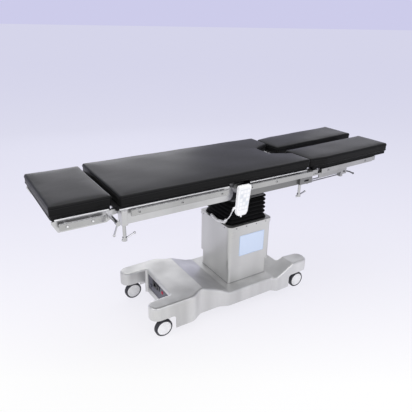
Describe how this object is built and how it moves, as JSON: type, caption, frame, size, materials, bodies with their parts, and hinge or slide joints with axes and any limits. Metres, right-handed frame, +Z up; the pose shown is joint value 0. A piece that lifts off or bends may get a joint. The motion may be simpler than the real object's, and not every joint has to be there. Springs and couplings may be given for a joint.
{
  "type": "operating table",
  "caption": "surgical operating table: wheeled base with a lifting column, tilting padded top in head, back, seat and two spreading leg sections, side rails and a corded hand control",
  "frame": {"origin": "on the floor, under the middle of the bounding box", "axes": "+X along the table towards the foot end, +Y to the far side, +Z up"},
  "size_m": [2.062, 0.688, 0.8698],
  "materials": {
    "steel": "brushed stainless sheet",
    "bright_steel": "bright ground stainless bar",
    "mechanism": "plated dark steel",
    "upholstery": "satin black coated upholstery over foam",
    "board": "black laminate board",
    "fork": "dark caster arm",
    "hub": "white cover disc",
    "tyre": "dark tyre",
    "bellows": "black folded sleeve",
    "handset": "white moulded case",
    "cord": "pale jacketed cord",
    "panel": "grey panel",
    "socket": "black moulded",
    "lamp": "red lens"
  },
  "bodies": {
    "base": {"chassis_plate": "mechanism", "base_cover": "steel", "column_guide": "mechanism", "column_lower_cover": "steel", "column_upper_cover": "steel", "end_panel": "panel", "power_inlet": "socket", "indicator_lamp": "lamp", "bellows": "bellows", "handset_cord": "cord"},
    "rocker": {"rocker_switch": "socket"},
    "lift": {"lift_carriage": "mechanism"},
    "cross": {"tilt_saddle": "mechanism"},
    "seat": {"seat_frame": "steel", "seat_rail_near": "bright_steel", "seat_rail_far": "bright_steel", "seat_board": "board", "seat_pad": "upholstery", "pad_fold": "upholstery"},
    "back": {"back_frame": "steel", "back_rail_near": "bright_steel", "back_rail_far": "bright_steel", "back_board": "board", "back_pad": "upholstery"},
    "head": {"head_frame": "steel", "head_rail_near": "bright_steel", "head_rail_far": "bright_steel", "head_board": "board", "head_pad": "upholstery"},
    "handset_body": {"handset": "handset"},
    "leg_block_near": {"leg_hinge_block_near": "steel"},
    "leg_near": {"leg_frame_near": "steel", "leg_rail_near": "bright_steel", "leg_board_near": "board", "leg_pad_near": "upholstery"},
    "lever_near": {"leg_lever_near": "mechanism"},
    "leg_block_far": {"leg_hinge_block_far": "steel"},
    "leg_far": {"leg_frame_far": "steel", "leg_rail_far": "bright_steel", "leg_board_far": "board", "leg_pad_far": "upholstery"},
    "lever_far": {"leg_lever_far": "mechanism"},
    "head_end_clamp_body_near": {"head_end_clamp_near": "bright_steel"},
    "foot_end_clamp_body_near": {"foot_end_clamp_near": "bright_steel"},
    "head_clamp_body_near": {"head_clamp_near": "bright_steel"},
    "head_end_clamp_body_far": {"head_end_clamp_far": "bright_steel"},
    "foot_end_clamp_body_far": {"foot_end_clamp_far": "bright_steel"},
    "head_clamp_body_far": {"head_clamp_far": "bright_steel"},
    "caster_head_near": {"caster_fork_head_near": "fork"},
    "wheel_head_near": {"caster_hub_head_near": "hub", "caster_tyre_head_near": "tyre"},
    "caster_head_far": {"caster_fork_head_far": "fork"},
    "wheel_head_far": {"caster_hub_head_far": "hub", "caster_tyre_head_far": "tyre"},
    "caster_foot_near": {"caster_fork_foot_near": "fork"},
    "wheel_foot_near": {"caster_hub_foot_near": "hub", "caster_tyre_foot_near": "tyre"},
    "caster_foot_far": {"caster_fork_foot_far": "fork"},
    "wheel_foot_far": {"caster_hub_foot_far": "hub", "caster_tyre_foot_far": "tyre"}
  },
  "joints": [
    {"name": "rocker_turn", "type": "hinge", "parent": "base", "child": "rocker", "pos_m": [-0.4452, -0.004, 0.152], "axis": [0, 1, 0], "range_deg": [0, 15]},
    {"name": "lift_travel", "type": "slide", "parent": "base", "child": "lift", "axis": [0, 0, 1], "range_m": [-0.09, 0.16], "deforming": ["bellows", "handset_cord"]},
    {"name": "side_tilt", "type": "hinge", "parent": "lift", "child": "cross", "pos_m": [0.069, 0, 0.695], "axis": [1, 0, 0], "range_deg": [-15, 15]},
    {"name": "end_tilt", "type": "hinge", "parent": "cross", "child": "seat", "pos_m": [0.069, 0, 0.695], "axis": [0, -1, 0], "range_deg": [-20, 20]},
    {"name": "back_hinge", "type": "hinge", "parent": "seat", "child": "back", "pos_m": [-0.106, 0, 0.785], "axis": [0, 1, 0], "range_deg": [-15, 70], "deforming": ["pad_fold"]},
    {"name": "head_hinge", "type": "hinge", "parent": "back", "child": "head", "pos_m": [-0.751, 0, 0.783], "axis": [0, 1, 0], "range_deg": [-60, 15]},
    {"name": "handset_lift", "type": "slide", "parent": "seat", "child": "handset_body", "axis": [0, 0, 1], "range_m": [0, 0.04]},
    {"name": "leg_pitch_near", "type": "hinge", "parent": "seat", "child": "leg_block_near", "pos_m": [0.4, -0.235, 0.776], "axis": [0, 1, 0], "range_deg": [-12, 60]},
    {"name": "leg_spread_near", "type": "hinge", "parent": "leg_block_near", "child": "leg_near", "pos_m": [0.436, -0.235, 0.776], "axis": [0, 0, -1], "range_deg": [0, 45]},
    {"name": "leg_lever_turn_near", "type": "hinge", "parent": "leg_near", "child": "lever_near", "pos_m": [0.76269, -0.16, 0.70539], "axis": [0, 1, 0], "range_deg": [-15, 45]},
    {"name": "leg_pitch_far", "type": "hinge", "parent": "seat", "child": "leg_block_far", "pos_m": [0.4, 0.235, 0.776], "axis": [0, 1, 0], "range_deg": [-12, 60]},
    {"name": "leg_spread_far", "type": "hinge", "parent": "leg_block_far", "child": "leg_far", "pos_m": [0.436, 0.235, 0.776], "axis": [0, 0, 1], "range_deg": [0, 45]},
    {"name": "leg_lever_turn_far", "type": "hinge", "parent": "leg_far", "child": "lever_far", "pos_m": [0.76269, 0.16, 0.70539], "axis": [0, 1, 0], "range_deg": [-15, 45]},
    {"name": "turn_head_end_near", "type": "hinge", "parent": "back", "child": "head_end_clamp_body_near", "pos_m": [-0.729, -0.266, 0.7], "axis": [0, 0, 1], "continuous": true},
    {"name": "turn_foot_end_near", "type": "hinge", "parent": "seat", "child": "foot_end_clamp_body_near", "pos_m": [0.31, -0.262, 0.7], "axis": [0, 0, 1], "continuous": true},
    {"name": "turn_head_near", "type": "hinge", "parent": "head", "child": "head_clamp_body_near", "pos_m": [-0.782, -0.24, 0.778], "axis": [0, 1, 0], "continuous": true},
    {"name": "turn_head_end_far", "type": "hinge", "parent": "back", "child": "head_end_clamp_body_far", "pos_m": [-0.729, 0.266, 0.7], "axis": [0, 0, 1], "continuous": true},
    {"name": "turn_foot_end_far", "type": "hinge", "parent": "seat", "child": "foot_end_clamp_body_far", "pos_m": [0.31, 0.262, 0.7], "axis": [0, 0, 1], "continuous": true},
    {"name": "turn_head_far", "type": "hinge", "parent": "head", "child": "head_clamp_body_far", "pos_m": [-0.782, 0.24, 0.778], "axis": [0, 1, 0], "continuous": true},
    {"name": "swivel_head_near", "type": "hinge", "parent": "base", "child": "caster_head_near", "pos_m": [-0.54, -0.203, 0.1214], "axis": [0, 0, 1], "continuous": true},
    {"name": "spin_head_near", "type": "hinge", "parent": "caster_head_near", "child": "wheel_head_near", "pos_m": [-0.522, -0.203, 0.05], "axis": [0, 1, 0], "continuous": true},
    {"name": "swivel_head_far", "type": "hinge", "parent": "base", "child": "caster_head_far", "pos_m": [-0.54, 0.203, 0.1214], "axis": [0, 0, 1], "continuous": true},
    {"name": "spin_head_far", "type": "hinge", "parent": "caster_head_far", "child": "wheel_head_far", "pos_m": [-0.522, 0.203, 0.05], "axis": [0, 1, 0], "continuous": true},
    {"name": "swivel_foot_near", "type": "hinge", "parent": "base", "child": "caster_foot_near", "pos_m": [0.396, -0.203, 0.1214], "axis": [0, 0, 1], "continuous": true},
    {"name": "spin_foot_near", "type": "hinge", "parent": "caster_foot_near", "child": "wheel_foot_near", "pos_m": [0.414, -0.203, 0.05], "axis": [0, 1, 0], "continuous": true},
    {"name": "swivel_foot_far", "type": "hinge", "parent": "base", "child": "caster_foot_far", "pos_m": [0.396, 0.203, 0.1214], "axis": [0, 0, 1], "continuous": true},
    {"name": "spin_foot_far", "type": "hinge", "parent": "caster_foot_far", "child": "wheel_foot_far", "pos_m": [0.414, 0.203, 0.05], "axis": [0, 1, 0], "continuous": true}
  ]
}
